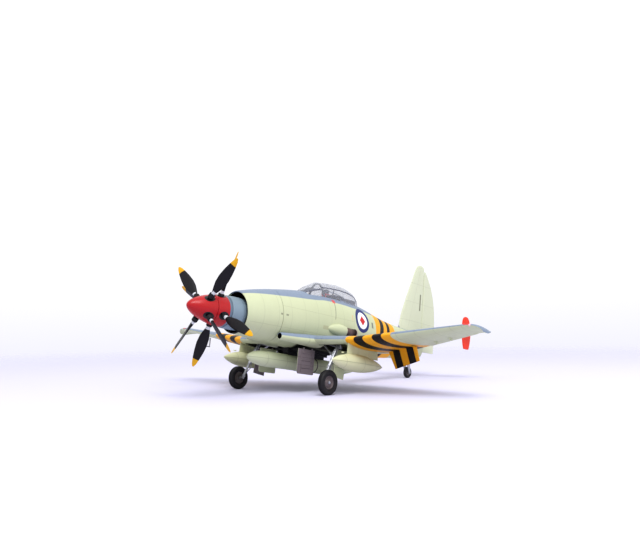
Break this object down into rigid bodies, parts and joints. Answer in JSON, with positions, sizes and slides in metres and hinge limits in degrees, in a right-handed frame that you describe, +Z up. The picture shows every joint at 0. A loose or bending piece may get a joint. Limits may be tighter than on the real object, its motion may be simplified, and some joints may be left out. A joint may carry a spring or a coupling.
{
  "type": "propeller plane model",
  "caption": "Display model of a carrier strike plane with contra-rotating propellers, tail finlets, a belly store and drop tanks, standing on its wheels with flaps lowered.",
  "frame": {"origin": "on the ground plane under the middle of the model's bounding box, with the tyres on Z = 0", "axes": "+X to the port wing tip, -Y the way the nose points, +Z up; the aircraft sits 8.4 degrees nose up on its tail wheel"},
  "size_m": [0.274, 0.271, 0.0945],
  "materials": {
    "sky_paint": "satin",
    "grey_paint": "satin",
    "spinner_red": "satin",
    "blade_black": "satin",
    "finlet_red": "satin",
    "store_green": "satin",
    "cockpit_grey": "matte",
    "cockpit_black": "matte",
    "door_grey": "matte",
    "tyre_rubber": "matte",
    "hub_grey": "satin",
    "silver_paint": "satin",
    "burnt_metal": "satin",
    "clear_canopy": "gloss"
  },
  "bodies": {
    "root": {"fuselage_left": "sky_paint", "fuselage_right": "sky_paint", "nose_cowl": "sky_paint", "wing_centre": "sky_paint", "wing_outer_left": "sky_paint", "wing_outer_right": "sky_paint", "root_intake_left": "sky_paint", "root_intake_right": "sky_paint", "fin": "sky_paint", "tailplane_left": "sky_paint", "tailplane_right": "sky_paint", "pylon_left": "sky_paint", "pylon_right": "sky_paint", "store_crutch": "sky_paint", "leg_door_left": "sky_paint", "leg_door_right": "sky_paint", "intake_cone": "grey_paint", "finlet_left": "finlet_red", "finlet_right": "finlet_red", "belly_store": "store_green", "drop_tank_left": "store_green", "drop_tank_right": "store_green", "cockpit_tub": "cockpit_grey", "pilot_seat": "cockpit_black", "instrument_panel": "cockpit_black", "gear_door_left": "door_grey", "gear_door_right": "door_grey", "main_leg_left": "silver_paint", "main_leg_right": "silver_paint", "pitot_probe": "silver_paint", "exhaust_left": "burnt_metal", "exhaust_right": "burnt_metal", "prop_bearing": "burnt_metal", "windscreen": "clear_canopy"},
    "front_prop": {"spinner_front": "spinner_red", "prop_shaft_inner": "burnt_metal", "front_blade_1": "blade_black", "front_blade_2": "blade_black", "front_blade_3": "blade_black", "front_blade_4": "blade_black"},
    "rear_prop": {"spinner_rear": "spinner_red", "prop_shaft_outer": "burnt_metal", "rear_blade_1": "blade_black", "rear_blade_2": "blade_black", "rear_blade_3": "blade_black", "rear_blade_4": "blade_black"},
    "hood": {"canopy_hood": "clear_canopy"},
    "rudder_body": {"rudder": "sky_paint"},
    "elevator_left_body": {"elevator_left": "sky_paint"},
    "elevator_right_body": {"elevator_right": "sky_paint"},
    "aileron_left_body": {"aileron_left": "sky_paint"},
    "aileron_right_body": {"aileron_right": "sky_paint"},
    "flap_left_body": {"flap_left": "sky_paint"},
    "flap_right_body": {"flap_right": "sky_paint"},
    "wheel_left": {"main_tyre_left": "tyre_rubber", "main_hub_left": "hub_grey"},
    "wheel_right": {"main_tyre_right": "tyre_rubber", "main_hub_right": "hub_grey"},
    "tail_castor": {"tail_fork": "silver_paint"},
    "tail_wheel_body": {"tail_wheel": "tyre_rubber"}
  },
  "joints": [
    {"name": "front_prop_spin", "type": "hinge", "parent": "root", "child": "front_prop", "pos_m": [0, -0.12311, 0.05562], "axis": [0, 0.9894, -0.1454], "continuous": true},
    {"name": "rear_prop_spin", "type": "hinge", "parent": "root", "child": "rear_prop", "pos_m": [0, -0.11391, 0.05427], "axis": [0, 0.9894, -0.1454], "continuous": true},
    {"name": "hood_slide", "type": "slide", "parent": "root", "child": "hood", "axis": [0, 0.9894, -0.1454], "range_m": [0, 0.016]},
    {"name": "rudder_swing", "type": "hinge", "parent": "root", "child": "rudder_body", "pos_m": [0, 0.11332, 0.03099], "axis": [0, 0.1454, 0.9894], "range_deg": [-22, 22]},
    {"name": "elevator_left_swing", "type": "hinge", "parent": "root", "child": "elevator_left_body", "pos_m": [0.0105, 0.11163, 0.03323], "axis": [0.989, 0.0215, 0.1462], "range_deg": [-20, 20]},
    {"name": "elevator_right_swing", "type": "hinge", "parent": "root", "child": "elevator_right_body", "pos_m": [-0.0105, 0.11163, 0.03323], "axis": [0.989, -0.0215, -0.1462], "range_deg": [-20, 20]},
    {"name": "aileron_left_swing", "type": "hinge", "parent": "root", "child": "aileron_left_body", "pos_m": [0.083, -0.01345, 0.03213], "axis": [0.9718, -0.1634, 0.1702], "range_deg": [-18, 18]},
    {"name": "aileron_right_swing", "type": "hinge", "parent": "root", "child": "aileron_right_body", "pos_m": [-0.083, -0.01345, 0.03213], "axis": [0.9718, 0.1634, -0.1702], "range_deg": [-18, 18]},
    {"name": "flap_left_raise", "type": "hinge", "parent": "root", "child": "flap_left_body", "pos_m": [0.0556, -0.00988, 0.02754], "axis": [0.9733, -0.1554, 0.1688], "range_deg": [0, 66]},
    {"name": "flap_right_raise", "type": "hinge", "parent": "root", "child": "flap_right_body", "pos_m": [-0.0556, -0.00988, 0.02754], "axis": [0.9733, 0.1554, -0.1688], "range_deg": [0, 66]},
    {"name": "wheel_left_roll", "type": "hinge", "parent": "root", "child": "wheel_left", "pos_m": [0.0415, -0.05783, 0.00803], "axis": [1, 0, 0], "continuous": true},
    {"name": "wheel_right_roll", "type": "hinge", "parent": "root", "child": "wheel_right", "pos_m": [-0.0415, -0.05783, 0.00803], "axis": [1, 0, 0], "continuous": true},
    {"name": "tail_wheel_castor", "type": "hinge", "parent": "root", "child": "tail_castor", "pos_m": [0, 0.09147, 0.01298], "axis": [0, 0.1454, 0.9894], "range_deg": [-45, 45]},
    {"name": "tail_wheel_roll", "type": "hinge", "parent": "tail_castor", "child": "tail_wheel_body", "pos_m": [0, 0.09328, 0.00463], "axis": [1, 0, 0], "continuous": true}
  ],
  "couplings": [
    {"joint": "elevator_right_swing", "follows": "elevator_left_swing", "ratio": 1},
    {"joint": "aileron_right_swing", "follows": "aileron_left_swing", "ratio": -1},
    {"joint": "flap_right_raise", "follows": "flap_left_raise", "ratio": 1}
  ]
}
